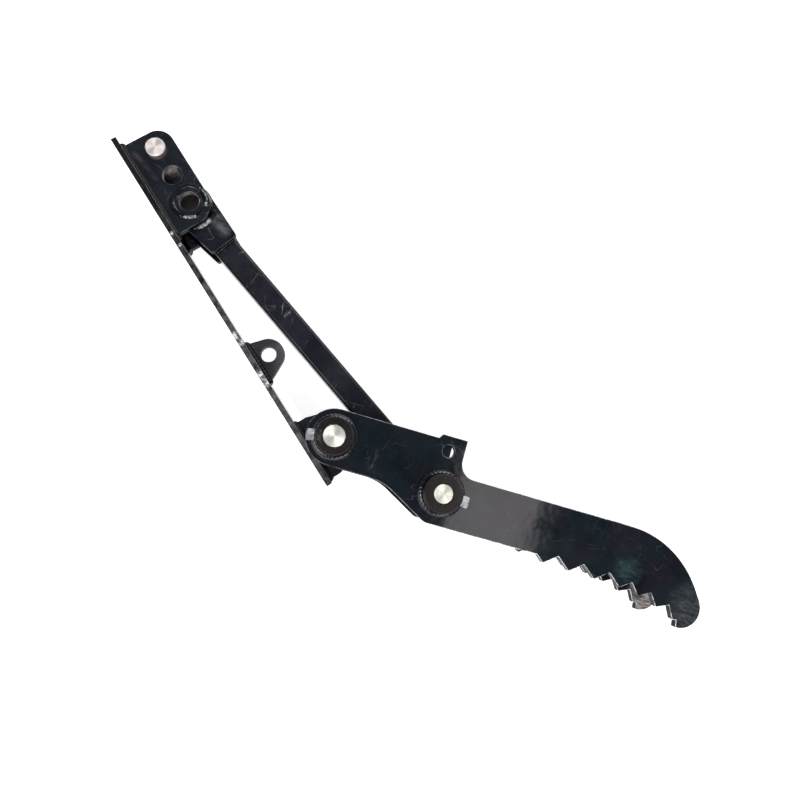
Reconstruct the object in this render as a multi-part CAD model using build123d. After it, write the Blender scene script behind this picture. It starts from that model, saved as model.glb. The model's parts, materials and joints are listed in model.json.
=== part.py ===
from build123d import *
import os
from math import atan2, cos, degrees, hypot, radians, sin, sqrt, tan

# Weld-on mechanical thumb for a mini excavator, lying on its side as it is stored.
# Units are millimetres. X runs along the base plate from its upper end to the thumb
# end, Y points from the weld face towards the linkage, and Z runs along the pins.
# The origin is the middle of the weld face, which is welded under the excavator's stick.

# Base plate
base_length = 720.0
base_width = 130.0
base_thickness = 10.0
base_corner = 1.5

# Upper bracket, two plates with three holes for the adjusting pin
bracket_plate = 12.0
bracket_gap = 73.0
bracket_start = 12.0
bracket_height = 84.5
bracket_top_corner = 30.0
bracket_lower_corner = 40.0
first_hole = 32.5
hole_pitch = 57.0
hole_height = 49.5
last_hole_margin = 43.0
hole_count = 3

# Lower pivot, two ears with a tube welded through them
ear_plate = 12.0
ear_edge = 8.0
ear_foot = 114.0
ear_foot_height = 21.0
ear_rim = 17.0
pivot_height = 45.0
pivot_from_end = 64.0

# Storage lug on the middle of the base plate
lug_plate = 14.0
lug_foot = 81.0
lug_foot_shift = 4.5
lug_foot_height = 2.0
lug_hole = 28.0
lug_rim = 15.0
lug_hole_height = 25.0

# Pins and what they turn in
pivot_pin = 40.0
link_pin = 35.0
adjusting_pin = 35.0
running_clearance = 0.05
hole_clearance = 0.1
bush_wall = 5.0
pivot_tube_wall = 6.0
eye_wall = 8.0
side_clearance = 1.0
pin_chamfer = 1.5

# Thumb, two toothed plates that straddle the base plate
thumb_angle = 41.6
thumb_plate = 16.0
straddle_clearance = 2.5
heel_margin = 9.5
link_pin_along = 200.4
link_pin_drop = 41.9
tab_start = 174.0
tab_rise = 8.0
tab_end = 222.7
heel_corner = 27.0
back_drop = 54.5
back_curve = 160.0
back_turn = 58.0
nose_radius = 36.0
nose_land = 8.0
nose_step = 11.0
shank_step = 47.5
shank_slope = 28.7
shank_step_end = 186.0
belly_bend = 95.0
belly_corner = 20.0
storage_radius = 197.0
storage_angle = 9.0
storage_hole = 22.0

# Teeth along the edge that closes on the bucket
tooth_start = 401.5
tooth_line_drop = 49.5
tooth_line_tilt = -1.8
tooth_straight = 112.0
tooth_curve = 360.0
tooth_pitch = 47.0
tooth_depth = 19.0
straight_teeth = 4
tip_tooth_pitch = 37.0
tip_tooth_depth = 16.5
tip_teeth = 3
tooth_tip_round = 2.5
tooth_root_round = 2.0
tooth_lead_in = 13.0

# Cross webs between the thumb plates
web_plate = 12.0
web_inset = 4.0
shank_web_start = 262.0
shank_web_length = 112.0
tip_web_start = 548.0
tip_web_length = 78.0
tip_web_inset = 6.0

# Collars welded round the thumb's pins
pivot_collar_wall = 12.5
link_collar_wall = 15.5
near_collar_height = 36.0
far_collar_height = 20.0
collar_chamfer = 2.0
collar_weld = 8.0
near_pin_recess = 4.0
far_pin_recess = 2.0

# Lock bolts, screwed through collar and pin into the collar's far wall
bolt = 12.0
bolt_clearance = 0.5
bolt_across_flats = 19.0
nut_height = 13.0
bolt_end = 2.0
bolt_hole_floor = 4.0
pivot_bolt_angle = 190.8
link_bolt_angle = -4.5

# Keeper of the parked adjusting pin
keeper_plate = 8.0
keeper_rim = 6.0
keeper_reach = 28.0
keeper_end_radius = 12.0
keeper_bolt = 10.0
keeper_across_flats = 17.0
keeper_head = 6.5
adjusting_pin_stand_out = 8.0

# Link arm
link_tube = 45.0
link_tube_wall = 4.0
link_tube_corner = 6.0
gusset_plate = 10.0
gusset_rim = 7.5
gusset_length = 94.0
gusset_end = 56.0
gusset_corner = 6.0

# Fillet welds round the plates that stand on the base plate
weld_leg = 7.0

# Places that follow from the sizes above
plate_face = base_thickness
half_length = base_length / 2
bracket_x = -half_length + bracket_start
bracket_length = first_hole + (hole_count - 1) * hole_pitch + last_hole_margin
bracket_outer = bracket_gap / 2 + bracket_plate
hole_y = plate_face + hole_height
holes = [(bracket_x + first_hole + i * hole_pitch, hole_y) for i in range(hole_count)]
parked_hole = holes[0]
link_hole = holes[-1]

pivot_x = half_length - pivot_from_end
pivot_y = plate_face + pivot_height
ear_outer = base_width / 2 - ear_edge

thumb_gap = base_width + 2 * straddle_clearance
thumb_inner = thumb_gap / 2
thumb_outer = thumb_inner + thumb_plate

pivot_collar_radius = pivot_pin / 2 + pivot_collar_wall
link_collar_radius = link_pin / 2 + link_collar_wall
heel_radius = pivot_collar_radius + collar_weld - 1.0 + heel_margin
back_line = heel_radius - back_drop
belly_line = -heel_radius - shank_step
link_pin_place = (link_pin_along, -link_pin_drop)

pivot_bush_radius = pivot_pin / 2 + running_clearance + bush_wall
pivot_tube_radius = pivot_bush_radius + pivot_tube_wall
link_bush_radius = link_pin / 2 + running_clearance + bush_wall
link_eye_radius = link_bush_radius + eye_wall
upper_bush_radius = adjusting_pin / 2 + hole_clearance + bush_wall
upper_eye_radius = upper_bush_radius + eye_wall

lug_y = plate_face + lug_hole_height
lug_x = pivot_x - sqrt(storage_radius ** 2 - (pivot_y - lug_y) ** 2)
lug_foot_x = lug_x + lug_foot_shift

# Round bars start at their lower end
FROM_BELOW = (Align.CENTER, Align.CENTER, Align.MIN)


def thumb_frame():
    """The thumb's own frame: origin on the pivot, first axis along the shank."""
    return Pos(pivot_x, pivot_y, 0) * Rot(0, 0, thumb_angle)


def on_thumb(along, across):
    """A point of the thumb's own frame, given in the part's frame."""
    place = thumb_frame() * Pos(along, across, 0)
    return place.position.X, place.position.Y


link_pin_x, link_pin_y = on_thumb(*link_pin_place)
link_span = hypot(link_pin_x - link_hole[0], link_pin_y - link_hole[1])
link_angle = degrees(atan2(link_pin_y - link_hole[1], link_pin_x - link_hole[0]))


def plate_of(sketch, low, high):
    """A flat plate of the given outline that fills the heights low to high."""
    return extrude(Pos(0, 0, low) * sketch, amount=high - low)


def rod(radius, low, high, chamfer_size=0.0, chamfer_low=0.0):
    """A round bar along Z with a chamfer on its top and, if asked, its bottom."""
    bar = Pos(0, 0, low) * Cylinder(radius, high - low, align=FROM_BELOW)
    rims = bar.edges().filter_by(GeomType.CIRCLE).sort_by(Axis.Z)
    if chamfer_size > 0:
        bar = chamfer(rims[-1], chamfer_size)
    if chamfer_low > 0:
        bar = chamfer(bar.edges().filter_by(GeomType.CIRCLE).sort_by(Axis.Z)[0], chamfer_low)
    return bar


def tube(outer, inner, low, high):
    """A round tube along Z."""
    return plate_of(Circle(outer) - Circle(inner), low, high)


def standing_outline(x, y, radius, foot_x, foot, foot_height):
    """A lug with a round top about (x, y) that stands on the base plate's inner face."""
    top = Pos(x, y) * Circle(radius)
    bottom = Pos(foot_x, plate_face + foot_height / 2) * Rectangle(foot, foot_height)
    outline = make_hull(top.edges() + bottom.edges())
    under = Pos(x, plate_face - radius) * Rectangle(4 * radius + foot, 2 * radius)
    return outline - under


def foot_weld(x, length, plate, middle_z):
    """The fillet weld all round a plate that stands on the base plate."""
    foot = Plane((x, plate_face, middle_z), x_dir=(1, 0, 0), z_dir=(0, 1, 0))
    mound = extrude(foot * Rectangle(length + 2 * weld_leg, plate + 2 * weld_leg), weld_leg, taper=45)
    return mound - extrude(foot * Rectangle(length, plate), weld_leg)


def make_base_plate():
    """The long plate whose outer face is welded to the stick."""
    plane = Plane((0, 0, 0), x_dir=(1, 0, 0), z_dir=(0, 1, 0))
    return extrude(plane * RectangleRounded(base_length, base_width, base_corner), base_thickness)


def bracket_outline():
    """One bracket plate with its three pin holes."""
    low, high = plate_face, plate_face + bracket_height
    left, right = bracket_x, bracket_x + bracket_length
    corners = [(left, low), (left, high), (right, high), (right, low)]
    face = make_face(Polyline(*corners, close=True).edges())
    upper = face.vertices().group_by(Axis.Y)[-1].sort_by(Axis.X)
    face = fillet(upper[0], bracket_top_corner)
    upper = face.vertices().sort_by(lambda v: -v.X - v.Y)
    face = fillet(upper[0], bracket_lower_corner)
    for hole in holes:
        face -= Pos(*hole) * Circle(adjusting_pin / 2 + hole_clearance)
    return face


def make_bracket_plate(side):
    inner, outer = sorted((side * bracket_gap / 2, side * bracket_outer))
    plate = plate_of(bracket_outline(), inner, outer)
    if side < 0:
        plate -= keeper_place(-bracket_outer) * Cylinder(keeper_bolt / 2, 4 * bracket_plate)
    return plate


def make_bracket_welds():
    middle = bracket_x + bracket_length / 2
    height = bracket_gap / 2 + bracket_plate / 2
    return [foot_weld(middle, bracket_length, bracket_plate, side * height) for side in (1, -1)]


def make_pivot_ear(side):
    radius = pivot_tube_radius + ear_rim
    outline = standing_outline(pivot_x, pivot_y, radius, pivot_x, ear_foot, ear_foot_height)
    outline -= Pos(pivot_x, pivot_y) * Circle(pivot_tube_radius)
    inner, outer = sorted((side * (ear_outer - ear_plate), side * ear_outer))
    return plate_of(outline, inner, outer)


def make_ear_welds():
    height = ear_outer - ear_plate / 2
    return [foot_weld(pivot_x, ear_foot, ear_plate, side * height) for side in (1, -1)]


def make_pivot_tube():
    half = thumb_inner - side_clearance
    return Pos(pivot_x, pivot_y) * tube(pivot_tube_radius, pivot_bush_radius, -half, half)


def make_bush(place, pin_radius, bush_radius):
    """The bush pressed into a tube that turns on one of the thumb's pins."""
    half = thumb_inner - side_clearance
    return place * tube(bush_radius, pin_radius + running_clearance, -half, half)


def make_storage_lug():
    outline = standing_outline(lug_x, lug_y, lug_hole / 2 + lug_rim, lug_foot_x, lug_foot, lug_foot_height)
    outline -= Pos(lug_x, lug_y) * Circle(lug_hole / 2)
    return plate_of(outline, -lug_plate / 2, lug_plate / 2)


def keeper_place(height):
    """Where the keeper's bolt goes through the far bracket plate."""
    return Pos(parked_hole[0], parked_hole[1] - keeper_reach, height)


def make_adjusting_pin():
    low = -bracket_outer - keeper_plate
    high = bracket_outer + adjusting_pin_stand_out
    return Pos(*parked_hole) * rod(adjusting_pin / 2, low, high, pin_chamfer)


def make_keeper_plate():
    """The flag that is bolted to the far bracket plate so the pin can't slide out."""
    ring = Pos(*parked_hole) * Circle(adjusting_pin / 2 + keeper_rim)
    end = Pos(parked_hole[0], parked_hole[1] - keeper_reach) * Circle(keeper_end_radius)
    outline = make_hull(ring.edges() + end.edges())
    outline -= Pos(*parked_hole) * Circle(adjusting_pin / 2 + hole_clearance)
    outline -= Pos(parked_hole[0], parked_hole[1] - keeper_reach) * Circle(keeper_bolt / 2 + bolt_clearance)
    return plate_of(outline, -bracket_outer - keeper_plate, -bracket_outer)


def hexagon(across_flats, height):
    """A hexagonal prism from Z = 0 upwards."""
    return extrude(RegularPolygon(across_flats / 2, 6, major_radius=False), height)


def make_keeper_bolt():
    seat = keeper_place(-bracket_outer - keeper_plate)
    shank = seat * Cylinder(keeper_bolt / 2, keeper_plate + bracket_plate, align=FROM_BELOW)
    return seat * Rot(180, 0, 0) * hexagon(keeper_across_flats, keeper_head) + shank


def tooth_point(distance, offset):
    """A point beside the tooth line: straight at first, then bent towards the nose."""
    heading = radians(tooth_line_tilt)
    straight = min(distance, tooth_straight)
    along = tooth_start + straight * cos(heading)
    across = -heel_radius - tooth_line_drop + straight * sin(heading)
    turned = max(distance - tooth_straight, 0.0) / tooth_curve
    along += tooth_curve * (sin(heading) - sin(heading - turned))
    across += tooth_curve * (cos(heading - turned) - cos(heading))
    heading -= turned
    return along + offset * sin(heading), across - offset * cos(heading)


def tooth_corners():
    """Tips and roots of the teeth from the shank to the nose, each with its rounding."""
    corners = []
    distance = 0.0
    for tooth in range(straight_teeth + tip_teeth):
        at_tip = tooth >= straight_teeth - 1
        depth = tip_tooth_depth if at_tip else tooth_depth
        pitch = tip_tooth_pitch if at_tip else tooth_pitch
        corners.append((tooth_point(distance, depth / 2), tooth_tip_round))
        if tooth < straight_teeth + tip_teeth - 1:
            corners.append((tooth_point(distance + pitch / 2, -depth / 2), tooth_root_round))
        distance += pitch
    return corners


def thumb_outline():
    """One toothed thumb plate in the thumb's own frame."""
    tip = tooth_corners()[-1][0]
    nose_line = tip[1] - nose_step
    nose_end = tip[0] + nose_land
    nose_corner = nose_end + 1.5 + nose_radius * tan(radians(90 - back_turn / 2))
    back_corner = nose_corner - (back_line - nose_line) / tan(radians(back_turn))
    step_start = shank_step_end - shank_step / tan(radians(shank_slope))
    rise = [
        ((tab_start, heel_radius), 3.0),
        ((tab_start + 0.6 * tab_rise, heel_radius + tab_rise), 1.5),
        ((tab_end, heel_radius + tab_rise), 1.5),
        ((tab_end, back_line), heel_corner),
        ((back_corner, back_line), back_curve),
        ((nose_corner, nose_line), nose_radius - 0.1),
        ((nose_end, nose_line), 1.0),
        ((nose_end - 1.0, tip[1] + 1.5), 1.5),
    ]
    teeth = tooth_corners()[::-1]
    shank = [
        ((tooth_start - tooth_lead_in, belly_line), 4.0),
        ((shank_step_end, belly_line), belly_corner),
        ((step_start, -heel_radius), belly_bend),
    ]
    corners = rise + teeth + shank
    points = [(0, heel_radius)] + [point for point, _ in corners] + [(0, -heel_radius)]
    edge = FilletPolyline(*points, radius=[radius for _, radius in corners])
    heel = ThreePointArc((0, -heel_radius), (-heel_radius, 0), (0, heel_radius))
    outline = make_face(edge.edges() + heel.edges())
    outline -= Circle(pivot_pin / 2 + hole_clearance)
    outline -= Pos(*link_pin_place) * Circle(link_pin / 2 + hole_clearance)
    spin = radians(storage_angle)
    outline -= Pos(storage_radius * cos(spin), storage_radius * sin(spin)) * Circle(storage_hole / 2)
    return outline


def make_thumb_plate(side):
    low, high = sorted((side * thumb_inner, side * thumb_outer))
    return thumb_frame() * plate_of(thumb_outline(), low, high)


def make_web(start, length, inset):
    """A flat bar between the thumb plates, laid just inside the toothed edge."""
    across = belly_line + inset + web_plate / 2
    bar = Pos(start + length / 2, across) * Rectangle(length, web_plate)
    return thumb_frame() * plate_of(bar, -thumb_inner, thumb_inner)


def bolt_axis(place, angle, height):
    """A frame on a collar's middle height whose Z axis runs along the lock bolt."""
    return thumb_frame() * Pos(*place, height) * Rot(0, 0, angle) * Rot(0, 90, 0)


def lock_bolt_hole(place, radius, bolt_angle):
    """The blind hole across a near collar and its pin, open towards the nut."""
    axis = bolt_axis(place, bolt_angle, thumb_outer + near_collar_height / 2)
    floor = Pos(0, 0, bolt_hole_floor - radius)
    return axis * floor * Cylinder(bolt / 2 + bolt_clearance, 4 * radius, align=FROM_BELOW)


def make_collar(place, pin_radius, radius, side, bolt_angle):
    """A ring welded on the outside of a thumb plate, its weld bead included."""
    height = near_collar_height if side > 0 else far_collar_height
    profile = [
        (pin_radius + hole_clearance, 0),
        (radius + collar_weld, 0),
        (radius, collar_weld),
        (radius, height - collar_chamfer),
        (radius - collar_chamfer, height),
        (pin_radius + hole_clearance, height),
    ]
    ring = revolve(make_face((Plane.XZ * Polyline(*profile, close=True)).edges()), Axis.Z)
    ring = thumb_frame() * Pos(*place, thumb_outer) * ring
    if side > 0:
        return ring - lock_bolt_hole(place, radius, bolt_angle)
    return mirror(ring, Plane.XY)


def make_thumb_pin(place, pin_radius, radius, bolt_angle):
    """A pin fixed in the thumb, drilled across for its lock bolt."""
    low = -thumb_outer - far_collar_height + far_pin_recess
    high = thumb_outer + near_collar_height - near_pin_recess
    pin = thumb_frame() * Pos(*place) * rod(pin_radius, low, high, pin_chamfer, pin_chamfer)
    return pin - lock_bolt_hole(place, radius, bolt_angle)


def make_lock_set(place, radius, bolt_angle):
    """The headless bolt that locks a pin to its near collar, and the nut on the collar's round."""
    axis = bolt_axis(place, bolt_angle, thumb_outer + near_collar_height / 2)
    seat = radius + hole_clearance
    floor = bolt_hole_floor - radius
    length = seat + nut_height + bolt_end - floor
    shank = Pos(0, 0, floor) * Cylinder(bolt / 2, length, align=FROM_BELOW)
    nut = hexagon(bolt_across_flats, nut_height) - Cylinder(bolt / 2, 4 * nut_height)
    return axis * shank, axis * Pos(0, 0, seat) * nut


def link_frame():
    """The link's own frame: origin on its upper eye, first axis towards the link pin."""
    return Pos(*link_hole) * Rot(0, 0, link_angle)


def make_link_tube():
    """The square tube, cut to sit on both eyes."""
    plane = Plane((0, 0, 0), x_dir=(0, 1, 0), z_dir=(1, 0, 0))
    inner = link_tube - 2 * link_tube_wall
    section = RectangleRounded(link_tube, link_tube, link_tube_corner)
    section -= RectangleRounded(inner, inner, link_tube_corner - link_tube_wall)
    arm = extrude(plane * section, link_span)
    arm -= Cylinder(upper_eye_radius, 2 * link_tube)
    arm -= Pos(link_span, 0) * Cylinder(link_eye_radius, 2 * link_tube)
    return link_frame() * arm


def make_gusset(side):
    """The drop-shaped plate that ties the upper eye to the face of the tube."""
    ring = Circle(upper_eye_radius + gusset_rim)
    end = RectangleRounded(2 * gusset_corner + 1, gusset_end, gusset_corner)
    end = Pos(gusset_length - gusset_corner, 0) * end
    outline = make_hull(ring.edges() + end.edges()) - Circle(upper_eye_radius)
    low, high = sorted((side * link_tube / 2, side * (link_tube / 2 + gusset_plate)))
    return link_frame() * plate_of(outline, low, high)


def make_upper_eye():
    half = bracket_gap / 2 - side_clearance
    return link_frame() * tube(upper_eye_radius, upper_bush_radius, -half, half)


def make_upper_eye_bush():
    half = bracket_gap / 2 - side_clearance
    return link_frame() * tube(upper_bush_radius, adjusting_pin / 2 + hole_clearance, -half, half)


def make_lower_eye():
    half = thumb_inner - side_clearance
    return link_frame() * Pos(link_span, 0) * tube(link_eye_radius, link_bush_radius, -half, half)


def all_parts():
    parts = {
        "base_plate": make_base_plate(),
        "bracket_welds": make_bracket_welds(),
        "ear_welds": make_ear_welds(),
        "pivot_tube": make_pivot_tube(),
        "storage_lug": make_storage_lug(),
        "lug_weld": foot_weld(lug_foot_x, lug_foot, lug_plate, 0.0),
        "adjusting_pin": make_adjusting_pin(),
        "keeper_plate": make_keeper_plate(),
        "keeper_bolt": make_keeper_bolt(),
        "shank_web": make_web(shank_web_start, shank_web_length, web_inset),
        "tip_web": make_web(tip_web_start, tip_web_length, tip_web_inset),
        "link_tube": make_link_tube(),
        "link_upper_eye": make_upper_eye(),
        "link_upper_bush": make_upper_eye_bush(),
        "link_lower_eye": make_lower_eye(),
    }
    pivot_place = Pos(pivot_x, pivot_y)
    eye_place = link_frame() * Pos(link_span, 0)
    parts["pivot_bush"] = make_bush(pivot_place, pivot_pin / 2, pivot_bush_radius)
    parts["link_bush"] = make_bush(eye_place, link_pin / 2, link_bush_radius)
    for side, word in ((1, "near"), (-1, "far")):
        parts["bracket_plate_" + word] = make_bracket_plate(side)
        parts["pivot_ear_" + word] = make_pivot_ear(side)
        parts["link_gusset_" + word] = make_gusset(side)
        parts["thumb_plate_" + word] = make_thumb_plate(side)
    for word, place, pin, radius, angle in (
        ("pivot", (0, 0), pivot_pin, pivot_collar_radius, pivot_bolt_angle),
        ("link", link_pin_place, link_pin, link_collar_radius, link_bolt_angle),
    ):
        parts[word + "_pin"] = make_thumb_pin(place, pin / 2, radius, angle)
        parts[word + "_lock_bolt"], parts[word + "_lock_nut"] = make_lock_set(place, radius, angle)
        parts[word + "_collar_near"] = make_collar(place, pin / 2, radius, 1, angle)
        parts[word + "_collar_far"] = make_collar(place, pin / 2, radius, -1, angle)
    return parts


os.makedirs("parts", exist_ok=True)
for name, shape in all_parts().items():
    solids = shape if isinstance(shape, list) else [shape]
    export_step(Compound(children=[s for piece in solids for s in piece.solids()]), "parts/" + name + ".step")
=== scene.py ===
"""Looks of the weld-on excavator thumb: black enamel over welded plate, bright pins, zinc lock bolts."""

import json
import math

import bmesh
import bpy
from mathutils import Matrix, Vector, noise

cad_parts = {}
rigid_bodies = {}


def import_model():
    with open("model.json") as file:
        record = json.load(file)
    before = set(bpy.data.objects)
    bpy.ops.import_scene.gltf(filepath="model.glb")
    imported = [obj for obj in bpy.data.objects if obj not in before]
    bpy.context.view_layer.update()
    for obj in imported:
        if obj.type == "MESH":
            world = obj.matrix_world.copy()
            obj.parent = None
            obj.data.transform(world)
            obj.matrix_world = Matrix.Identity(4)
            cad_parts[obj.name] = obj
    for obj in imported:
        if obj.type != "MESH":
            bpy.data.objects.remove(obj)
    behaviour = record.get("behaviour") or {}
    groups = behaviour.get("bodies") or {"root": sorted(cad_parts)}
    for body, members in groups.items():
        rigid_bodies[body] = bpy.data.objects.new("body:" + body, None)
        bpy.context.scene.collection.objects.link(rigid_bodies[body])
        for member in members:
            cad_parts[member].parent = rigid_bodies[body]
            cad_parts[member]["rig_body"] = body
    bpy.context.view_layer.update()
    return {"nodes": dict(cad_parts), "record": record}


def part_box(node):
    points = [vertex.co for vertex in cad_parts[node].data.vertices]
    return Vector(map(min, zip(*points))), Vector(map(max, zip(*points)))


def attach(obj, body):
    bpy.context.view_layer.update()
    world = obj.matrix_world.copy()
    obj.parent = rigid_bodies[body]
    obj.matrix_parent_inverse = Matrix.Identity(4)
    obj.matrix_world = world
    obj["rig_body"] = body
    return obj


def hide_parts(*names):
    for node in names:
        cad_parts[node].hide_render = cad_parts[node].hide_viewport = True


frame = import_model()

MM = 0.001


# Places on the object

def middle_of(node):
    """The middle of a node's box."""
    low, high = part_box(node)
    return (low + high) / 2


def at_height(point, height):
    """The point moved along the pins' direction to a height."""
    return Vector((point.x, point.y, height))


upper_eye = middle_of("link_upper_eye")


def round_the_eye(angle, reach_mm, height):
    """A place round the axis of the upper eye, by its angle from X in degrees."""
    way = Vector((math.cos(math.radians(angle)), math.sin(math.radians(angle)), 0))
    return at_height(upper_eye, height) + way * reach_mm * MM


# Colours and shader nodes

def colour(hex_code):
    """An sRGB hex colour as the linear colour that Blender's sockets take."""
    parts = [int(hex_code[i:i + 2], 16) / 255 for i in (1, 3, 5)]
    linear = [c / 12.92 if c <= 0.04045 else ((c + 0.055) / 1.055) ** 2.4 for c in parts]
    return (*linear, 1.0)


def per_size(size_mm):
    """The texture scale at which one feature is this many millimetres wide."""
    return 1.0 / (size_mm * MM)


def add(tree, kind, sockets=None, output=0, **options):
    """One shader node with its options: each socket takes a value or the output of another node."""
    made = tree.nodes.new("ShaderNode" + kind)
    for name, value in options.items():
        setattr(made, name, value)
    for socket, value in (sockets or {}).items():
        if isinstance(value, bpy.types.NodeSocket):
            tree.links.new(value, made.inputs[socket])
        else:
            made.inputs[socket].default_value = value
    return made.outputs[output] if made.outputs else None


def new_material(name):
    """An empty material, its node tree and the coordinates that its patterns use."""
    material = bpy.data.materials.new(name)
    material.use_nodes = True
    tree = material.node_tree
    tree.nodes.clear()
    return material, tree, add(tree, "TexCoord", output="Object")


def finish(tree, surface):
    """The surface shader joined to the material's output."""
    add(tree, "OutputMaterial", {"Surface": surface})


# Patterns and layers that the finishes share

def pattern(tree, place, size_mm, detail=3.0, roughness=0.5, stretch=(1, 1, 1), turn=0.0):
    """Cloudy noise with features of the given size, stretched that many times along axes turned about Z."""
    moved = add(tree, "Mapping", {"Vector": place, "Scale": stretch, "Rotation": (0, 0, turn)},
                vector_type="TEXTURE")
    return add(tree, "TexNoise", {"Vector": moved, "Scale": per_size(size_mm), "Detail": detail,
                                  "Roughness": roughness})


def patches(tree, place, size_mm, low, high, least=0.0, most=1.0, **form):
    """A mask that goes from least to most as a pattern of this size rises from low to high."""
    cloud = pattern(tree, place, size_mm, **form)
    return add(tree, "MapRange", {"Value": cloud, "From Min": low, "From Max": high, "To Min": least,
                                  "To Max": most})


def hairlines(tree, place, turn, spacing_mm, length_mm, patch_mm, bend=0.3):
    """Bent hairline scratches that run roughly one way and show in patches."""
    moved = add(tree, "Mapping", {"Vector": place, "Scale": (1, length_mm / spacing_mm, 1),
                                  "Rotation": (0, 0, turn)}, vector_type="TEXTURE")
    field = add(tree, "TexNoise", {"Vector": moved, "Scale": per_size(spacing_mm), "Detail": 0.0,
                                   "Distortion": bend})
    # The noise crosses its middle value along thin bent lines, drawn wider than real ones so that they show
    from_middle = add(tree, "Math", {0: field, 1: 0.5}, operation="SUBTRACT")
    off_line = add(tree, "Math", {0: from_middle}, operation="ABSOLUTE")
    line = add(tree, "MapRange", {"Value": off_line, "From Min": 0.012, "From Max": 0.003})
    shown = patches(tree, place, patch_mm, 0.56, 0.66, most=0.45, roughness=0.6)
    return add(tree, "Math", {0: line, 1: shown}, operation="MULTIPLY")


def rubbed_spot(tree, place, centre, radius_mm):
    """1 round a place on the object in metres, falling to 0 at the radius."""
    away = add(tree, "VectorMath", {0: place, 1: centre}, "Value", operation="DISTANCE")
    full = 0.3 * radius_mm * MM
    return add(tree, "MapRange", {"Value": away, "From Min": radius_mm * MM, "From Max": full})


# The sockets of a Mix node for colours, by number, because several of them share a name
SHARE, UNDER, OVER, BLENDED = 0, 6, 7, 2


def layered(tree, tone, layers):
    """The tone under layers: each is a colour and its masks, and shows as far as all of them let it."""
    for hex_code, share, *masks in layers:
        for mask in masks:
            share = add(tree, "Math", {0: share, 1: mask}, operation="MULTIPLY")
        tone = add(tree, "Mix", {SHARE: share, UNDER: tone, OVER: colour(hex_code)}, BLENDED,
                   data_type="RGBA")
    return tone


def scuffs_and_painted_glints(tree, place, tone, spots, patch_mm, patch_tone):
    """The tone with a pale colour in broken patches at spots, each a place in metres and a radius in mm: bare
    metal for scuffs, painted glints for glints.
    """
    broken = patches(tree, place, patch_mm, 0.44, 0.56, detail=4.0, roughness=0.7)
    patched = [(patch_tone, rubbed_spot(tree, place, centre, radius), broken) for centre, radius in spots]
    return layered(tree, tone, patched)


# Finishes

PAINT_IOR = 1.5
PURPLE_REFLECTION_TINT, GREEN_REFLECTION_TINT, SMUDGE_TONE = "#1a1119", "#101a1c", "#3a3e42"
# The first two tones are painted glints that stand in for highlights; the third is scuffed bare steel
ARRIS_GLINT_WHITE, WELD_GLINT_WHITE, SCUFFED_STEEL = "#e4e2de", "#d2d0cd", "#d6d3d4"
# Families of hairlines: the way they run in radians, then their spacing, length and patches in millimetres
HAIRLINES = ((0.5, 13, 120, 34), (-0.9, 17, 90, 42), (1.6, 24, 30, 60))


# A rub is a place in metres, a radius in millimetres, a strength and a tone, and dulls the paint there with
# its tone: real rubbing on some plates, painted light and painted reflection on others
def black_enamel(name, base, cloud_tone, dust_tone, gloss, dust, rubs_and_painted_light=(), shine=0.5, smear_mm=7):
    """Alkyd enamel sprayed on hot-rolled plate: deep gloss with orange peel, overspray dust and hairlines."""
    material, tree, place = new_material(name)
    layers = [
        (cloud_tone, patches(tree, place, 90, 0.40, 0.68, detail=4.0, roughness=0.55)),
        # Painted reflections: purple and green tints in random patches stand in for coloured reflections in
        # the gloss
        (PURPLE_REFLECTION_TINT, patches(tree, place, 75, 0.48, 0.62, most=0.6, detail=2.0)),
        (GREEN_REFLECTION_TINT, patches(tree, place, 62, 0.54, 0.66, most=0.5, roughness=0.6, turn=1.0)),
        (SMUDGE_TONE, patches(tree, place, 15, 0.52, 0.68, detail=5.0, roughness=0.7),
         patches(tree, place, 55, 0.46, 0.60, most=0.6 * dust, detail=2.0)),
    ]
    for centre, radius, strength, spot_tone in rubs_and_painted_light:
        streaks = patches(tree, place, smear_mm, 0.40, 0.64, least=0.08, detail=6.0, roughness=0.8,
                          stretch=(1, 3.3, 1), turn=2.2)
        layers.append((spot_tone, rubbed_spot(tree, place, centre, radius), strength, streaks))
    # Real dust is under a millimetre across, and these specks are drawn coarser so that they show
    layers.append((dust_tone, patches(tree, place, 2.6, 0.70, 0.77, detail=2.0, roughness=0.6),
                   patches(tree, place, 40, 0.50, 0.62, most=dust, detail=2.0)))
    for turn, spacing, length, patch in HAIRLINES:
        layers.append((dust_tone, hairlines(tree, place, turn, spacing, length, patch), dust))
    tone = layered(tree, colour(base), layers)
    rough = patches(tree, place, 25, 0.3, 0.7, gloss, gloss + 0.08, detail=4.0, roughness=0.6)
    peel = add(tree, "Math", {0: pattern(tree, place, 2.2, 1.0), 1: 0.04}, operation="MULTIPLY")
    height = add(tree, "Math", {0: peel, 1: pattern(tree, place, 38, 2.0)}, operation="ADD")
    bump = add(tree, "Bump", {"Strength": 0.3, "Distance": 0.0012, "Height": height})
    shader = add(tree, "BsdfPrincipled", {"Base Color": tone, "Roughness": rough, "IOR": PAINT_IOR,
                                          "Specular IOR Level": shine, "Normal": bump})
    finish(tree, shader)
    return material
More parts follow.
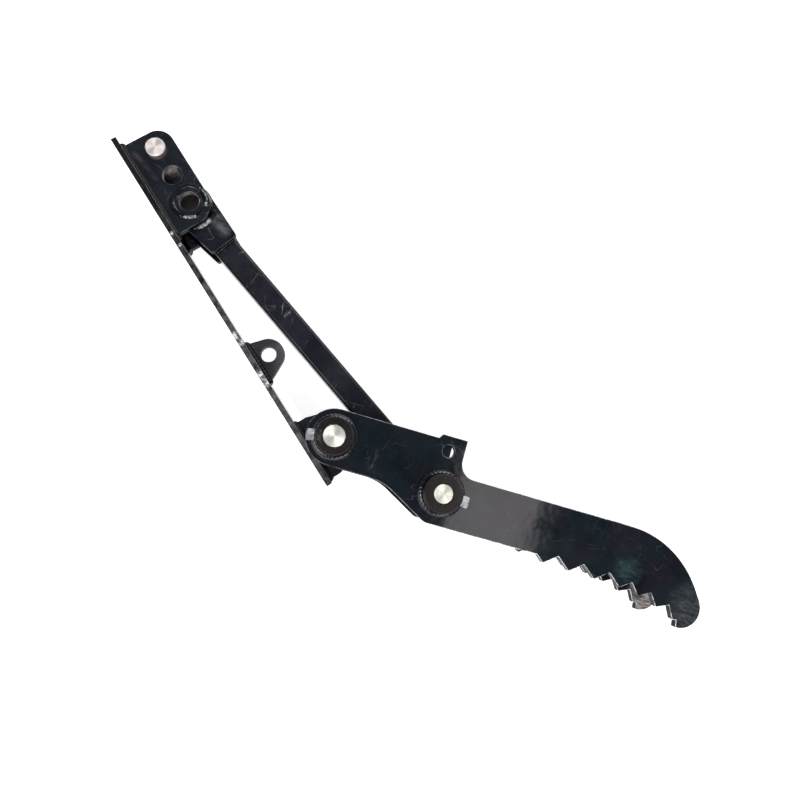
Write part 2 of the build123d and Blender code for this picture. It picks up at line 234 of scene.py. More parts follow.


# The rubbing grows along X between the two given ends, in metres; on the base plate's long edge that ramp is
# painted shade. A scuff is a place and a radius
def cut_edge_enamel(name, dark, rubbed, ramp_start, ramp_end, wear=(0.45, 0.65), scuffs=()):
    """Enamel over a plasma-cut edge: drag lines through the plate keep it dull, and handling rubs it grey; on
    the base plate's long edge the grey fades out as painted shade.
    """
    material, tree, place = new_material(name)
    # Real drag lines are under a millimetre apart, and these are drawn coarser so that they show
    drag = pattern(tree, place, 1.8, 2.0, 0.6, (1, 1, 20))
    ridges = add(tree, "MapRange", {"Value": drag, "From Min": 0.60, "From Max": 0.76, "To Max": 0.35})
    along = add(tree, "SeparateXYZ", {0: place}, "X")
    rubbing_and_shade_ramp = add(tree, "MapRange", {"Value": along, "From Min": ramp_start, "From Max": ramp_end,
                                     "To Min": 0.1})
    patchy = patches(tree, place, 16, *wear, detail=4.0, roughness=0.65)
    rubbing = add(tree, "Math", {0: patchy, 1: rubbing_and_shade_ramp}, operation="MULTIPLY")
    tone = layered(tree, colour(dark), [(rubbed, rubbing), ("#7d7a7e", ridges)])
    tone = scuffs_and_painted_glints(tree, place, tone, scuffs, 6, SCUFFED_STEEL)
    bump = add(tree, "Bump", {"Strength": 0.5, "Distance": 0.0005, "Height": drag})
    rough = add(tree, "MapRange", {"Value": rubbing, "To Min": 0.34, "To Max": 0.5})
    shader = add(tree, "BsdfPrincipled", {"Base Color": tone, "Roughness": rough, "IOR": PAINT_IOR,
                                          "Specular IOR Level": 0.08, "Normal": bump})
    finish(tree, shader)
    return material


def worn_arris(name, glints=()):
    """The arris between face and edge, where thin paint rubs through to grey mill scale and steel."""
    material, tree, place = new_material(name)
    along = add(tree, "SeparateXYZ", {0: place}, "X")
    towards_teeth = add(tree, "MapRange", {"Value": along, "From Min": 0.50, "From Max": 0.66, "To Min": 0.2})
    patchy = patches(tree, place, 13, 0.38, 0.54, detail=4.0, roughness=0.7)
    rubbed = add(tree, "Math", {0: patchy, 1: towards_teeth}, operation="MULTIPLY")
    tone = layered(tree, colour("#0c0d0f"), [("#cfccce", rubbed)])
    # Painted glints: white patches at the glints' spots stand in for highlights on the arris
    tone = scuffs_and_painted_glints(tree, place, tone, glints, 4, ARRIS_GLINT_WHITE)
    metal = add(tree, "Math", {0: rubbed, 1: 0.5}, operation="MULTIPLY")
    shader = add(tree, "BsdfPrincipled", {"Base Color": tone, "Metallic": metal, "Roughness": 0.30,
                                          "IOR": PAINT_IOR, "Specular IOR Level": 0.4})
    finish(tree, shader)
    return material


def weld_enamel(name, gloss, shine, glints=()):
    """Enamel over a weld bead: it lies thick and wet there, so each ripple takes a sharp glint."""
    material, tree, place = new_material(name)
    cloud = patches(tree, place, 14, 0.44, 0.74)
    spatter = patches(tree, place, 3.5, 0.72, 0.77, detail=2.0, roughness=0.6)
    tone = layered(tree, colour("#07080a"), [("#1c1d20", cloud), ("#8a8788", spatter)])
    # Painted glints: white patches at the glints' spots stand in for highlights on the bead
    tone = scuffs_and_painted_glints(tree, place, tone, glints, 2.6, WELD_GLINT_WHITE)
    fine = pattern(tree, place, 3.2, 2.0)
    bump = add(tree, "Bump", {"Strength": 0.25, "Distance": 0.0005, "Height": fine})
    shader = add(tree, "BsdfPrincipled", {"Base Color": tone, "Roughness": gloss, "IOR": PAINT_IOR,
                                          "Specular IOR Level": shine, "Normal": bump})
    finish(tree, shader)
    return material


def turned_steel(name, bright, dull, rough):
    """Carbon steel turned on a lathe: round tool marks spread the highlight into a fan across the face."""
    material, tree, place = new_material(name)
    stain = patches(tree, place, 9, 0.52, 0.74, detail=4.0, roughness=0.6)
    tone = layered(tree, colour(bright), [(dull, stain)])
    round_way = add(tree, "Tangent", direction_type="RADIAL", axis="Z")
    # Real tool marks are about 0.2 mm apart, and these are drawn coarser so that they show
    grooves = pattern(tree, place, 1.2, 2.0)
    bump = add(tree, "Bump", {"Strength": 0.12, "Distance": 0.0003, "Height": grooves})
    shader = add(tree, "BsdfPrincipled", {"Base Color": tone, "Metallic": 1.0, "Roughness": rough,
                                          "Anisotropic": 0.7, "Tangent": round_way, "Normal": bump})
    finish(tree, shader)
    return material


def zinc_plate(name):
    """Bright zinc plating on forged fasteners: pale grey, slightly mottled."""
    material, tree, place = new_material(name)
    cloud = patches(tree, place, 6, 0.35, 0.7, detail=4.0, roughness=0.6)
    tone = layered(tree, colour("#979796"), [("#68696b", cloud)])
    rough = patches(tree, place, 3, 0.3, 0.7, 0.34, 0.50, detail=2.0)
    shader = add(tree, "BsdfPrincipled", {"Base Color": tone, "Metallic": 1.0, "Roughness": rough})
    finish(tree, shader)
    return material


def greased_steel(name):
    """Bored bush steel under a film of grease: warm dark grey with a soft round sheen."""
    material, tree, place = new_material(name)
    film = patches(tree, place, 7, 0.4, 0.65)
    tone = layered(tree, colour("#2e2926"), [("#161210", film)])
    shader = add(tree, "BsdfPrincipled", {"Base Color": tone, "Metallic": 0.1, "Roughness": 0.6,
                                          "Specular IOR Level": 0.08})
    finish(tree, shader)
    return material


# Rubbed places on the thumb: the tip of the near plate, the flank above its teeth, the nose of the far plate
thumb_rubs = (
    ((0.885, 0.415, 0.0835), 60, 0.42, "#6c6e71"),
    ((0.762, 0.360, 0.0835), 30, 0.35, "#4c6668"),
    ((0.885, 0.398, -0.0675), 45, 1.0, "#aba29f"),
)
# A painted reflection: a light streak along the foot of the near bracket plate, as overlapping spots from its
# start by its step
STREAK_START, STREAK_STEP, STREAK_SPOTS = Vector((-0.327, 0.0222, 0.0485)), Vector((0.006, 0.0009, 0)), 11
bracket_painted_reflection = [(STREAK_START + STREAK_STEP * i, 6.5, 0.22, "#6c6e71") for i in range(STREAK_SPOTS)]
# Painted light: a pale patch on the inner face of the far bracket plate, which lies in shade; and rubbed
# scuffs on the near gusset beside the tube
far_painted_light = (((-0.168, 0.028, -0.0365), 36, 0.9, "#6b747d"),)
gusset_rubs = (
    ((-0.152, 0.086, 0.0325), 17, 0.36, "#8e9092"),
    ((-0.132, 0.086, 0.0325), 17, 0.30, "#8e9092"),
)
# Scuffs on the near edge of the base plate: two on each side of the lug and two by the bracket's foot
base_scuffs = (
    ((0.055, 0.004, 0.065), 9),
    ((0.070, 0.006, 0.065), 8),
    ((0.136, 0.004, 0.065), 10),
    ((0.153, 0.005, 0.065), 10),
    ((-0.158, 0.004, 0.065), 4),
    ((-0.133, 0.005, 0.065), 4),
)

# Painted glints, white patches that stand in for highlights: on the ring of weld round the last hole, the
# eye's second pass and the hole's rim
# Each lies so many millimetres from the axis of the upper eye
BOSS_REACH, PASS_REACH, HOLE_RADIUS = 30, 44, 17.6
bracket_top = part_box("bracket_plate_near")[1].z
eye_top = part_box("link_gusset_near")[1].z
boss_angles = (-42, -34, -26, -18, -10, 44, 52)
ring_glints = [(round_the_eye(angle, BOSS_REACH, bracket_top), 4) for angle in boss_angles]
pass_glints = [(round_the_eye(angle, PASS_REACH, eye_top), 8) for angle in (-6, 4, 14)]
rim_glints = [(round_the_eye(angle, HOLE_RADIUS, bracket_top), 5) for angle in (48, 66)]

plate_enamel = black_enamel("black_enamel_on_plate", "#08090c", "#171b1f", "#8d9093", 0.13, 0.35)
thumb_enamel = black_enamel("black_enamel_on_thumb", "#06080b", "#171c20", "#8d9093", 0.05, 0.26, thumb_rubs)
tube_enamel = black_enamel("black_enamel_on_tube", "#1b1b22", "#2a2a32", "#9a9ea2", 0.18, 0.8, shine=0.16)
gusset_enamel = black_enamel("black_enamel_on_gusset", "#07090c", "#11151a", "#9a9da0", 0.18, 0.4,
                             gusset_rubs)
# The bracket's enamel carries the painted reflection streak along the near plate's foot
bracket_enamel = black_enamel("black_enamel_on_bracket_with_painted_reflection", "#0e1013", "#1b1e23", "#8e9092", 0.18, 0.5,
                              bracket_painted_reflection, smear_mm=26)
# The far bracket plate's enamel carries painted light on its shaded inner face
far_enamel = black_enamel("black_enamel_on_far_bracket_with_painted_light", "#0e1013", "#1b1e23", "#8e9092", 0.18, 0.5, far_painted_light)
lug_enamel = black_enamel("scuffed_enamel_on_lug", "#343136", "#58545b", "#8a8789", 0.34, 0.9)
collar_enamel = black_enamel("black_enamel_on_turned_collar", "#100d0b", "#211b17", "#8f8b84", 0.22, 0.25,
                             shine=0.28)
edge_enamel = cut_edge_enamel("black_enamel_on_cut_edge", "#050607", "#1a1b1d", -0.1, 0.6)
bore_enamel = cut_edge_enamel("rubbed_enamel_in_pin_hole", "#3d3b3b", "#8f8a87", -0.7, -0.6, (0.38, 0.62))
# Painted shade: the base plate's long edge gets darker towards the bracket's end, under real rubbed patches
long_edge_enamel_with_painted_shade = cut_edge_enamel("rubbed_and_shaded_enamel_on_long_edge", "#0e0d10", "#58555a", -0.22, 0.0,
                                   (0.34, 0.62), base_scuffs)
# The arris carries painted glints at the rim of the last hole
arris_enamel = worn_arris("enamel_rubbed_through_on_arris_with_painted_glints", rim_glints)
bead_enamel = weld_enamel("black_enamel_on_weld_bead", 0.13, 0.5)
# These beads carry painted glints, white patches where the highlights fall
eye_bead_enamel = weld_enamel("enamel_on_eye_bead_with_painted_glints", 0.13, 0.5, ring_glints + pass_glints)
foot_bead_enamel = weld_enamel("dull_enamel_on_foot_bead", 0.38, 0.2)
pin_steel = turned_steel("turned_pin_steel", "#fff6e4", "#cfc2ad", 0.42)
row_pin_steel = turned_steel("turned_steel_of_the_adjusting_pin", "#fff1ea", "#f0dcd2", 0.60)
bush_steel = greased_steel("greased_bush_steel")
zinc = zinc_plate("bright_zinc_plate")

finishes = {
    "black_paint": plate_enamel,
    "bright_pin_steel": pin_steel,
    "bush_steel": bush_steel,
    "zinc_plated_steel": zinc,
}
for row in frame["record"]["subparts"]:
    node = frame["nodes"][row["node"]]
    node.data.materials.clear()
    node.data.materials.append(finishes[row["material_slot"]])

frame["nodes"]["link_tube"].data.materials[0] = tube_enamel
frame["nodes"]["adjusting_pin"].data.materials[0] = row_pin_steel
for name in ("pivot_collar_near", "pivot_collar_far", "link_collar_near", "link_collar_far"):
    frame["nodes"][name].data.materials[0] = collar_enamel


# Plates with rounded arrises

def new_piece(name, shell, body, finishes_used, replaced=()):
    """A piece of the object made from a bmesh, riding on its body."""
    mesh = bpy.data.meshes.new(name)
    shell.to_mesh(mesh)
    shell.free()
    for material in finishes_used:
        mesh.materials.append(material)
    piece = bpy.data.objects.new(name, mesh)
    bpy.context.scene.collection.objects.link(piece)
    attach(piece, body)
    if replaced:
        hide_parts(*replaced)
    return piece


# A plate's finishes, in the order of its material slots
FACE, WALL, ARRIS, BORE = range(4)
ARRIS_MM, THUMB_ARRIS_MM = 0.6, 1.0
SHARP_TURN, SOFT_TURN = math.radians(30), math.radians(40)
# Points this near are one point, faces that turn less than this are one flat,
# and a face that looks this squarely along the plate's thickness is its face side
SAME_POINT, FLAT_TURN, SQUARE_ON = 0.002 * MM, math.radians(1), 0.999
BORE_SLACK = 1.2 * MM


def in_a_bore(face, bores):
    """Whether a face of a plate is the wall of one of its pin holes, each given as its axis and radius."""
    middle = at_height(face.calc_center_median(), 0)
    return any(abs((middle - at_height(axis, 0)).length - radius) < BORE_SLACK for axis, radius in bores)


def painted_plate(node, face_enamel, wall_enamel, arris_mm=ARRIS_MM, flat=(0, 0, 1), bores=()):
    """A plate with rounded arrises: its faces, cut walls, arrises and pin holes each have their finish."""
    flat = Vector(flat)
    shell = bmesh.new()
    shell.from_mesh(frame["nodes"][node].data)
    bmesh.ops.remove_doubles(shell, verts=shell.verts, dist=SAME_POINT)
    bmesh.ops.dissolve_limit(shell, angle_limit=FLAT_TURN, verts=shell.verts, edges=shell.edges)
    sharp = [edge for edge in shell.edges if edge.is_manifold and edge.calc_face_angle() > SHARP_TURN]
    rounded = bmesh.ops.bevel(shell, geom=sharp, offset=arris_mm * MM, segments=2, profile=0.5,
                              affect="EDGES", clamp_overlap=False)
    arrises = set(rounded["faces"])
    for face in shell.faces:
        face.smooth = True
        if face in arrises:
            face.material_index = ARRIS
        elif abs(face.normal.dot(flat)) > SQUARE_ON:
            face.material_index = FACE
        else:
            face.material_index = BORE if in_a_bore(face, bores) else WALL
    for edge in shell.edges:
        if edge.is_manifold:
            first, second = edge.link_faces
            same = first.material_index == second.material_index
            edge.smooth = same and edge.calc_face_angle() < SOFT_TURN
    body = frame["nodes"][node]["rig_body"]
    finishes_used = (face_enamel, wall_enamel, arris_enamel, bore_enamel)
    return new_piece("painted_" + node, shell, body, finishes_used, (node,))


# The three pin holes of the bracket lie evenly from the adjusting pin to the upper eye
row_pin = middle_of("adjusting_pin")
row = [(row_pin.lerp(at_height(upper_eye, row_pin.z), share), HOLE_RADIUS * MM) for share in (0.0, 0.5, 1.0)]

painted_plate("base_plate", plate_enamel, long_edge_enamel_with_painted_shade, flat=(0, 1, 0))
painted_plate("bracket_plate_near", bracket_enamel, edge_enamel, bores=row)
painted_plate("bracket_plate_far", far_enamel, edge_enamel, bores=row)
painted_plate("keeper_plate", bracket_enamel, edge_enamel)
for name in ("pivot_ear_near", "pivot_ear_far"):
    painted_plate(name, plate_enamel, edge_enamel)
for name in ("thumb_plate_near", "thumb_plate_far"):
    painted_plate(name, thumb_enamel, edge_enamel, arris_mm=THUMB_ARRIS_MM)
painted_plate("storage_lug", lug_enamel, edge_enamel)
for name in ("link_gusset_near", "link_gusset_far"):
    painted_plate(name, gusset_enamel, edge_enamel)
for name in ("shank_web", "tip_web"):
    painted_plate(name, plate_enamel, plate_enamel)


# Weld beads

# The torch's weave and the mesh's step along a bead, in millimetres, and the faces across it
BEAD_PITCH, BEAD_STEP, BEAD_ARC = 7.2, 0.9, 8
# How far a bead runs in under its plates in millimetres, so that no gap shows
BEAD_ROOT = 0.8
# Shares of the leg: the bead's reach, what a ripple adds, how far the hand wanders, and its crown
BEAD_FILL, RIPPLE, WANDER, CROWN = 0.94, 0.07, 0.06, 0.7
# How many times the hand wanders in a metre, how far a crescent lags in pitches, the steps round a corner
WANDER_WAVES, CRESCENT_LAG, CORNER_STEPS = 60.0, 0.8, 8
# Legs of the beads in millimetres
FOOT_LEG, COLLAR_LEG, PIVOT_TUBE_LEG, UPPER_EYE_LEG, LOWER_EYE_LEG = 7.2, 8.4, 5.5, 3.2, 7.0
BOSS_LEG, PASS_LEG, GUSSET_END_LEG, WEB_LEG = 2.8, 3.2, 4.0, 3.6
# The bead at a plate's ends against the one along it, and how many times wider than high the low beads are
END_BEAD, UPPER_EYE_SPREAD, BOSS_SPREAD, PASS_SPREAD = 0.6, 2.6, 2.8, 2.2
# Where the beads start, in millimetres from the eye's axis or in from the collar's rim
BOSS_RADIUS, PASS_RADIUS, COLLAR_TOE, GUSSET_REACH = 26.0, 41.0, 8.0, 94.0
PASS_HALF_ANGLE, THUMB_SLOPE = 36, 41.6
X, Y, Z = Vector((1, 0, 0)), Vector((0, 1, 0)), Vector((0, 0, 1))


def straight_line(start, end, out, up):
    """Steps along a corner: where it is, the way out along one plate and the way up along the other."""
    count = max(2, round((end - start).length / (BEAD_STEP * MM)))
    return [(start.lerp(end, i / count), out, up) for i in range(count + 1)]


def ring_line(centre, radius, up, first=0.0, last=360.0, turned=0.0):
    """Steps round the foot of a ring that stands on a plate."""
    arc = math.radians(last - first)
    count = round(arc * radius / (BEAD_STEP * MM))
    steps = []
    for i in range(count + (last - first < 360.0)):
        angle = math.radians(first + turned) + arc * i / count
        out = X * math.cos(angle) + Y * math.sin(angle)
        steps.append((centre + out * radius, out, up))
    return steps


def foot_line(node):
    """Steps round the foot of a plate that stands on the base plate."""
    low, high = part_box(node)
    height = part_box("base_plate")[1].y
    feet = ((high.x, high.z), (low.x, high.z), (low.x, low.z), (high.x, low.z))
    corners = [Vector((x, height, z)) for x, z in feet]
    outs = (Z, -X, -Z, X)
    steps = []
    for i in range(4):
        start, end = corners[i], corners[(i + 1) % 4]
        size, after = (1.0, END_BEAD) if i % 2 == 0 else (END_BEAD, 1.0)
        steps += straight_line(start, end, outs[i] * size, Y * size)
        for turn in range(1, CORNER_STEPS):
            share = turn / CORNER_STEPS
            size_here = size + (after - size) * share
            steps.append((end, outs[i].slerp(outs[(i + 1) % 4], share) * size_here, Y * size_here))
    return steps


def half_width(node):
    """Half of a node's width along the base plate, which for a round one is its radius."""
    low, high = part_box(node)
    return (high.x - low.x) / 2


def add_bead(shell, steps, leg, closed):
    """One fillet bead in the shell: a quarter round whose back the weaving torch cuts into crescents."""
    travel = 0.0
    rows = []
    crown = None
    for corner, out, up in steps:
        here = corner + (out + up) * leg * CROWN
        travel += (here - crown).length if crown else 0.0
        crown = here
        row = [shell.verts.new(corner - (out + up) * BEAD_ROOT * MM)]
        wander = WANDER * noise.noise(corner * WANDER_WAVES)
        for k in range(BEAD_ARC + 1):
            angle = math.pi / 2 * k / BEAD_ARC
            lag = CRESCENT_LAG * BEAD_PITCH * MM * math.sin(2 * angle)
            ripple = abs(math.cos(math.pi * (travel - lag) / (BEAD_PITCH * MM)))
            reach = leg * (BEAD_FILL + RIPPLE * ripple + wander)
            row.append(shell.verts.new(corner + (out * math.cos(angle) + up * math.sin(angle)) * reach))
        rows.append(row)
    pairs = list(zip(rows, rows[1:])) + ([(rows[-1], rows[0])] if closed else [])
    for row, after in pairs:
        for k in range(len(row)):
            shell.faces.new((row[k], row[k - 1], after[k - 1], after[k]))
    if not closed:
        shell.faces.new(rows[0])
        shell.faces.new(rows[-1])


def laid_beads(name, lines, leg_mm, body, closed=True, replaced=(), enamel=bead_enamel):
    """The weld beads of one joint between plates, as one piece."""
    shell = bmesh.new()
    for steps in lines:
        add_bead(shell, steps, leg_mm * MM, closed)
    bmesh.ops.recalc_face_normals(shell, faces=shell.faces)
    for face in shell.faces:
        face.smooth = True
    return new_piece(name, shell, body, (enamel,), replaced)


def spread_out(lines, spread):
    """The same lines for beads that many times wider than high."""
    return [[(corner, out * spread, up) for corner, out, up in steps] for steps in lines]


for name, solid, plates in (
    ("bracket_beads", "bracket_welds", ("bracket_plate_near", "bracket_plate_far")),
    ("ear_beads", "ear_welds", ("pivot_ear_near", "pivot_ear_far")),
    ("lug_bead", "lug_weld", ("storage_lug",)),
):
    laid_beads(name, [foot_line(plate) for plate in plates], FOOT_LEG, "base", replaced=(solid,),
               enamel=foot_bead_enamel)

pivot = middle_of("pivot_pin")
link_pin = middle_of("link_pin")
link_way = (at_height(link_pin, 0) - at_height(upper_eye, 0)).normalized()
link_side = Z.cross(link_way)
link_turn = math.degrees(math.atan2(link_way.y, link_way.x))
thumb_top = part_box("thumb_plate_near")[1].z

for name, centre in (("pivot", pivot), ("link", link_pin)):
    radius = half_width(name + "_collar_near") - COLLAR_TOE * MM
    rings = [ring_line(at_height(centre, side * thumb_top), radius, Z * side) for side in (1, -1)]
    laid_beads(name + "_collar_beads", rings, COLLAR_LEG, "thumb")

ear_low, ear_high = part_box("pivot_ear_near")
radius = half_width("pivot_tube")
rings = [ring_line(at_height(pivot, side * ear_high.z), radius, Z * side) for side in (1, -1)]
rings += [ring_line(at_height(pivot, side * ear_low.z), radius, Z * -side) for side in (1, -1)]
laid_beads("pivot_tube_beads", rings, PIVOT_TUBE_LEG, "base")

radius = half_width("link_upper_eye")
rings = [ring_line(at_height(upper_eye, side * eye_top), radius, Z * side) for side in (1, -1)]
laid_beads("upper_eye_beads", spread_out(rings, UPPER_EYE_SPREAD), UPPER_EYE_LEG, "link")

# The last hole of the row is built up with a low ring of weld on the near plate
boss = [ring_line(at_height(upper_eye, bracket_top), BOSS_RADIUS * MM, Z)]
laid_beads("row_end_bead", spread_out(boss, BOSS_SPREAD), BOSS_LEG, "base", enamel=eye_bead_enamel)

# The eye's weld has a second pass on the side of the tube
arcs = [ring_line(at_height(upper_eye, side * eye_top), PASS_RADIUS * MM, Z * side,
                  -PASS_HALF_ANGLE, PASS_HALF_ANGLE, link_turn) for side in (1, -1)]
laid_beads("upper_eye_second_pass", spread_out(arcs, PASS_SPREAD), PASS_LEG, "link", closed=False,
           enamel=eye_bead_enamel)

half_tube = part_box("link_gusset_near")[0].z
radius = half_width("link_lower_eye")
half_arc = math.degrees(math.asin(half_tube / radius))
arcs = [ring_line(at_height(link_pin, side * half_tube), radius, Z * side, 180 - half_arc, 180 + half_arc,
                  link_turn) for side in (1, -1)]
laid_beads("lower_eye_beads", arcs, LOWER_EYE_LEG, "link", closed=False)

# The beads along the gussets' ends stop just short of the tube's corners
half_run = half_tube * 0.92
lines = []
for side in (1, -1):
    middle = at_height(upper_eye, 0) + link_way * GUSSET_REACH * MM + Z * side * half_tube
    start, end = middle - link_side * half_run, middle + link_side * half_run
    lines.append(straight_line(start, end, link_way, Z * side))
laid_beads("gusset_end_beads", lines, GUSSET_END_LEG, "link", closed=False)

thumb_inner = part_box("thumb_plate_near")[0].z
thumb_way = Matrix.Rotation(math.radians(THUMB_SLOPE), 3, "Z") @ X
thumb_across = Z.cross(thumb_way)
for name in ("shank_web", "tip_web"):
    corners = [v.co for v in frame["nodes"][name].data.vertices]
    along = [c.dot(thumb_way) for c in corners]
    across = [c.dot(thumb_across) for c in corners]
    lines = []
    for side in (1, -1):
        for edge, out in ((max(across), thumb_across), (min(across), -thumb_across)):
            level = thumb_across * edge + Z * side * thumb_inner
            start, end = thumb_way * min(along) + level, thumb_way * max(along) + level
            lines.append(straight_line(start, end, -Z * side, out))
    laid_beads(name + "_beads", lines, WEB_LEG, "thumb", closed=False)


# Fasteners

def add_rows(shell, rows, closed_ends=True):
    """Joins rows of points round an axis into one closed skin."""
    loops = [[shell.verts.new(point) for point in row] for row in rows]
    for row, after in zip(loops, loops[1:]):
        for k in range(len(row)):
            shell.faces.new((row[k], row[k - 1], after[k - 1], after[k]))
    if closed_ends:
        shell.faces.new(loops[0])
        shell.faces.new(loops[-1])
    else:
        for k in range(len(loops[0])):
            shell.faces.new((loops[-1][k], loops[-1][k - 1], loops[0][k - 1], loops[0][k]))


def round_point(foot, way, reach, angle, height):
    """A point at a reach and angle from the line through foot, at a height along it."""
    first = Z if abs(way.z) < 0.5 else X
    second = way.cross(first)
    return foot + way * height + (first * math.cos(angle) + second * math.sin(angle)) * reach


# A chamfer cuts a hexagon's ends to a circle, given as a share of its width across flats
CHAMFER_SLOPE, CHAMFER_CIRCLE = math.tan(math.radians(30)), 0.47
HEX_SIDES, HEX_STEPS = 72, 4
# A thread's sides and its steps in a turn, its depth as a share of the pitch, and the taper at its ends
THREAD_SIDES, THREAD_STEPS, THREAD_DEPTH, THREAD_TAPER = 24, 6, 0.6, 0.08
FASTENER_TURN = math.radians(28)


def add_hexagon(shell, foot, way, across, height, bore):
    """A forged hexagon with both ends turned to a chamfer, open at the bore if it has one."""
    corner = across / math.sqrt(3)
    turned = CHAMFER_CIRCLE * across
    drop = (corner - turned) * CHAMFER_SLOPE
    levels = [drop * i / HEX_STEPS for i in range(HEX_STEPS + 1)]
    levels += [height - level for level in reversed(levels)]
    angles = [math.tau * k / HEX_SIDES for k in range(HEX_SIDES)]
    rows = []
    for level in levels:
        limit = turned + min(level, height - level) / CHAMFER_SLOPE
        row = []
        for angle in angles:
            in_flat = (angle % (math.pi / 3)) - math.pi / 6
            row.append(round_point(foot, way, min(across / 2 / math.cos(in_flat), limit), angle, level))
        rows.append(row)
    if bore:
        ends = [[round_point(foot, way, bore, angle, level) for angle in angles] for level in (0, height)]
        rows = [ends[0]] + rows + [ends[1]]
    add_rows(shell, rows, closed_ends=not bore)


def add_thread(shell, foot, way, radius, length, pitch=1.75 * MM):
    """A threaded bar: the ridge climbs one pitch in each turn."""
    rows = []
    count = round(length / pitch * THREAD_STEPS)
    for i in range(count + 1):
        level = length * i / count
        row = []
        for k in range(THREAD_SIDES):
            turn = (level / pitch + k / THREAD_SIDES) % 1.0
            depth = THREAD_DEPTH * pitch * (1 - abs(2 * turn - 1))
            end = THREAD_TAPER * radius if i in (0, count) else 0.0
            row.append(round_point(foot, way, radius - depth - end, math.tau * k / THREAD_SIDES, level))
        rows.append(row)
    add_rows(shell, rows)


def dress_fastener(name, shell, body, replaced):
    """A finished fastener: smooth where it is round, crisp at its edges, and zinc plated."""
    bmesh.ops.recalc_face_normals(shell, faces=shell.faces)
    for face in shell.faces:
        face.smooth = True
    for edge in shell.edges:
        if edge.is_manifold:
            edge.smooth = edge.calc_face_angle() < FASTENER_TURN
    new_piece(name, shell, body, (zinc,), replaced)


def farthest(node, way):
    """How far a node reaches along a direction."""
    return max(v.co.dot(way) for v in frame["nodes"][node].data.vertices)


def run_along(node, way):
    """Where a node starts along a direction and how long it is."""
    start = -farthest(node, -way)
    return start, farthest(node, way) - start


M12, M12_ACROSS = 12.0 * MM, 19.0 * MM
for name, centre in (("pivot", pivot), ("link", link_pin)):
    nut, bolt = name + "_lock_nut", name + "_lock_bolt"
    middle = middle_of(nut)
    way = (middle - at_height(centre, middle.z)).normalized()
    start, length = run_along(nut, way)
    shell = bmesh.new()
    add_hexagon(shell, middle + way * (start - middle.dot(way)), way, M12_ACROSS, length, M12 / 2)
    dress_fastener(name + "_chamfered_nut", shell, "thumb", (nut,))
    start, length = run_along(bolt, way)
    shell = bmesh.new()
    add_thread(shell, middle + way * (start - middle.dot(way)), way, M12 / 2, length)
    dress_fastener(name + "_threaded_bolt", shell, "thumb", (bolt,))

M10, M10_ACROSS = 10.0 * MM, 17.0 * MM
bolt_low, bolt_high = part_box("keeper_bolt")
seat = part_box("keeper_plate")[0].z
keeper = (bolt_low + bolt_high) / 2
shell = bmesh.new()
add_hexagon(shell, at_height(keeper, seat), -Z, M10_ACROSS, seat - bolt_low.z, 0)
add_thread(shell, at_height(keeper, bolt_high.z), -Z, M10 / 2, bolt_high.z - seat)
dress_fastener("keeper_hexagon_bolt", shell, "base", ("keeper_bolt",))


# Studio

WHITE, CARD_WHITE, CEILING_GREY = "#ffffff", "#ececec", "#5b7386"


def floor_card(name):
    """White studio card: white to the camera and in gloss, with the soft shadow, and open from below."""
    material, tree, _ = new_material(name)
    card = add(tree, "BsdfDiffuse", {"Color": colour(CARD_WHITE)})
    glow = add(tree, "Emission", {"Color": colour(WHITE), "Strength": 0.62})
    both = add(tree, "AddShader", {0: card, 1: glow})
    top = add(tree, "MixShader", {0: seen_directly(tree), 1: card, 2: both})
    below = add(tree, "NewGeometry", output="Backfacing")
    open_below = add(tree, "BsdfTransparent")
    finish(tree, add(tree, "MixShader", {0: below, 1: top, 2: open_below}))
    return material


def seen_directly(tree):
    """1 for rays from the camera, off a gloss or through a clear thing, and 0 for light on things."""
    seen = 0.0
    for kind in ("Is Camera Ray", "Is Glossy Ray", "Is Transmission Ray"):
        ray = add(tree, "LightPath", output=kind)
        seen = add(tree, "Math", {0: seen, 1: ray}, operation="MAXIMUM")
    return seen


def add_softbox(name, place, aim, width, height, power, long_way=None):
    """A rectangular lamp; long_way is the direction of its height."""
    light = bpy.data.lights.new(name, "AREA")
    light.shape = "RECTANGLE"
    light.size, light.size_y, light.energy = width, height, power
    lamp = bpy.data.objects.new(name, light)
    back = (Vector(place) - Vector(aim)).normalized()
    across = Vector(long_way or (0, 0, 1)).cross(back).normalized()
    turned = Matrix((across, back.cross(across), back)).transposed().to_4x4()
    lamp.matrix_world = Matrix.Translation(place) @ turned
    bpy.context.scene.collection.objects.link(lamp)
    return lamp


# The object lies with its far side down, on the link pin's far collar
FLOOR_GAP, FLOOR_REACH = 0.5 * MM, 25.0
floor_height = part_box("link_collar_far")[0].z - FLOOR_GAP
floor_mesh = bpy.data.meshes.new("studio_floor")
turns = ((-1, -1), (1, -1), (1, 1), (-1, 1))
floor_mesh.from_pydata([(x * FLOOR_REACH, y * FLOOR_REACH, floor_height) for x, y in turns], [], [range(4)])
floor_mesh.materials.append(floor_card("white_studio_card"))
floor = bpy.data.objects.new("studio_floor", floor_mesh)
bpy.context.scene.collection.objects.link(floor)

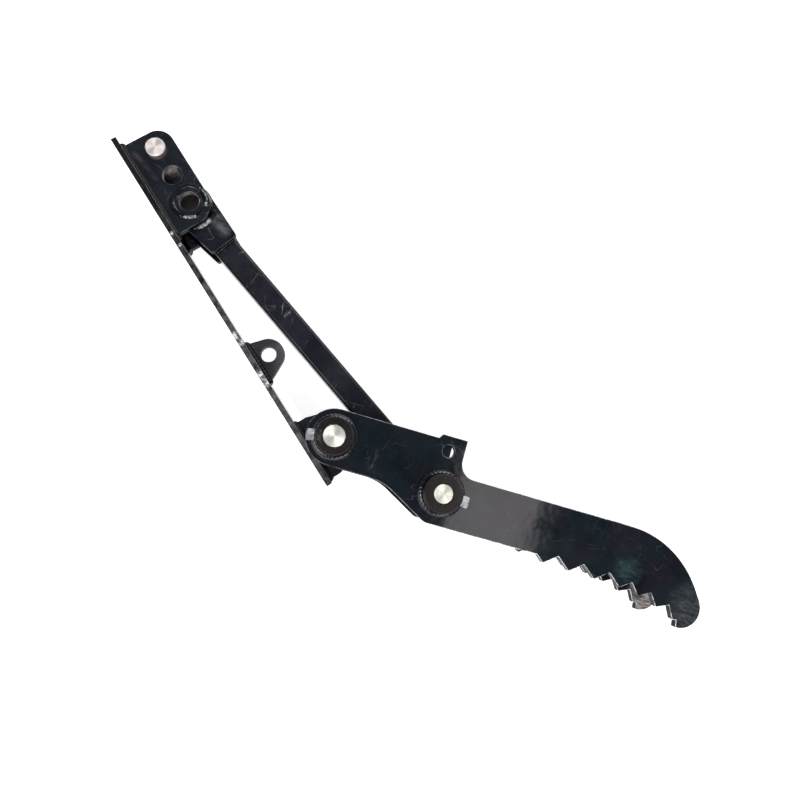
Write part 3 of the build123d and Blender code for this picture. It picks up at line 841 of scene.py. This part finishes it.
# White walls up to head height and a dim ceiling, which gives the black enamel its depth
world = bpy.data.worlds.new("studio_air")
bpy.context.scene.world = world
world.use_nodes = True
air = world.node_tree
air.nodes.clear()
upward = add(air, "SeparateXYZ", {0: add(air, "TexCoord", output="Generated")}, "Z")
over_walls = add(air, "MapRange", {"Value": upward, "From Min": 0.01, "From Max": 0.30})
lens_ray = add(air, "LightPath", output="Is Camera Ray")
off_lens = add(air, "Math", {0: 1.0, 1: lens_ray}, operation="SUBTRACT")
shade = layered(air, colour(WHITE), [(CEILING_GREY, over_walls, off_lens)])
seen = add(air, "Background", {"Color": shade, "Strength": 1.0})
soft = add(air, "Background", {"Color": colour(WHITE), "Strength": 0.3})
both = add(air, "MixShader", {0: seen_directly(air), 1: soft, 2: seen})
add(air, "OutputWorld", {"Surface": both})

# Each softbox has its place, its width and height in metres and its power in watts
object_middle = (0.25, 0.2, 0.0)
add_softbox("softbox_overhead", (0.3, -1.0, 2.1), object_middle, 1.2, 0.8, 26)
add_softbox("softbox_link_side", (-0.9, 1.7, 1.6), object_middle, 1.6, 1.0, 34)
add_softbox("softbox_weld_side", (0.2, -1.9, 1.0), object_middle, 2.2, 0.9, 18)
add_softbox("softbox_tip_side", (2.0, -0.4, 1.2), object_middle, 1.2, 0.8, 16)
# A narrow strip whose reflection lies as a soft grey band across the thumb's shank
strip = add_softbox("strip_light", (0.938, 0.576, 2.2), (0.938, 0.576, 0.0), 0.44, 1.0, 3.4,
                    long_way=(0.149, -0.199, 0))
strip.data.color = colour("#fff6f6")[:3]

# The camera, solved from the edges and circles of the photo
lens_place = Vector((0.3534, 0.0323, 1.1745))
lens_right = Vector((0.535373, 0.839676, 0.091212))
lens_up = Vector((-0.843316, 0.525435, 0.112855))
lens_back = lens_right.cross(lens_up)
camera_data = bpy.data.cameras.new("camera")
camera_data.sensor_width = 36.0
camera_data.lens = 28.8
camera_data.clip_end = 50.0
camera = bpy.data.objects.new("camera", camera_data)
turned = Matrix((lens_right, lens_up, lens_back)).transposed().to_4x4()
camera.matrix_world = Matrix.Translation(lens_place) @ turned
bpy.context.scene.collection.objects.link(camera)
bpy.context.scene.camera = camera

scene = bpy.context.scene
scene.view_settings.view_transform = "Standard"
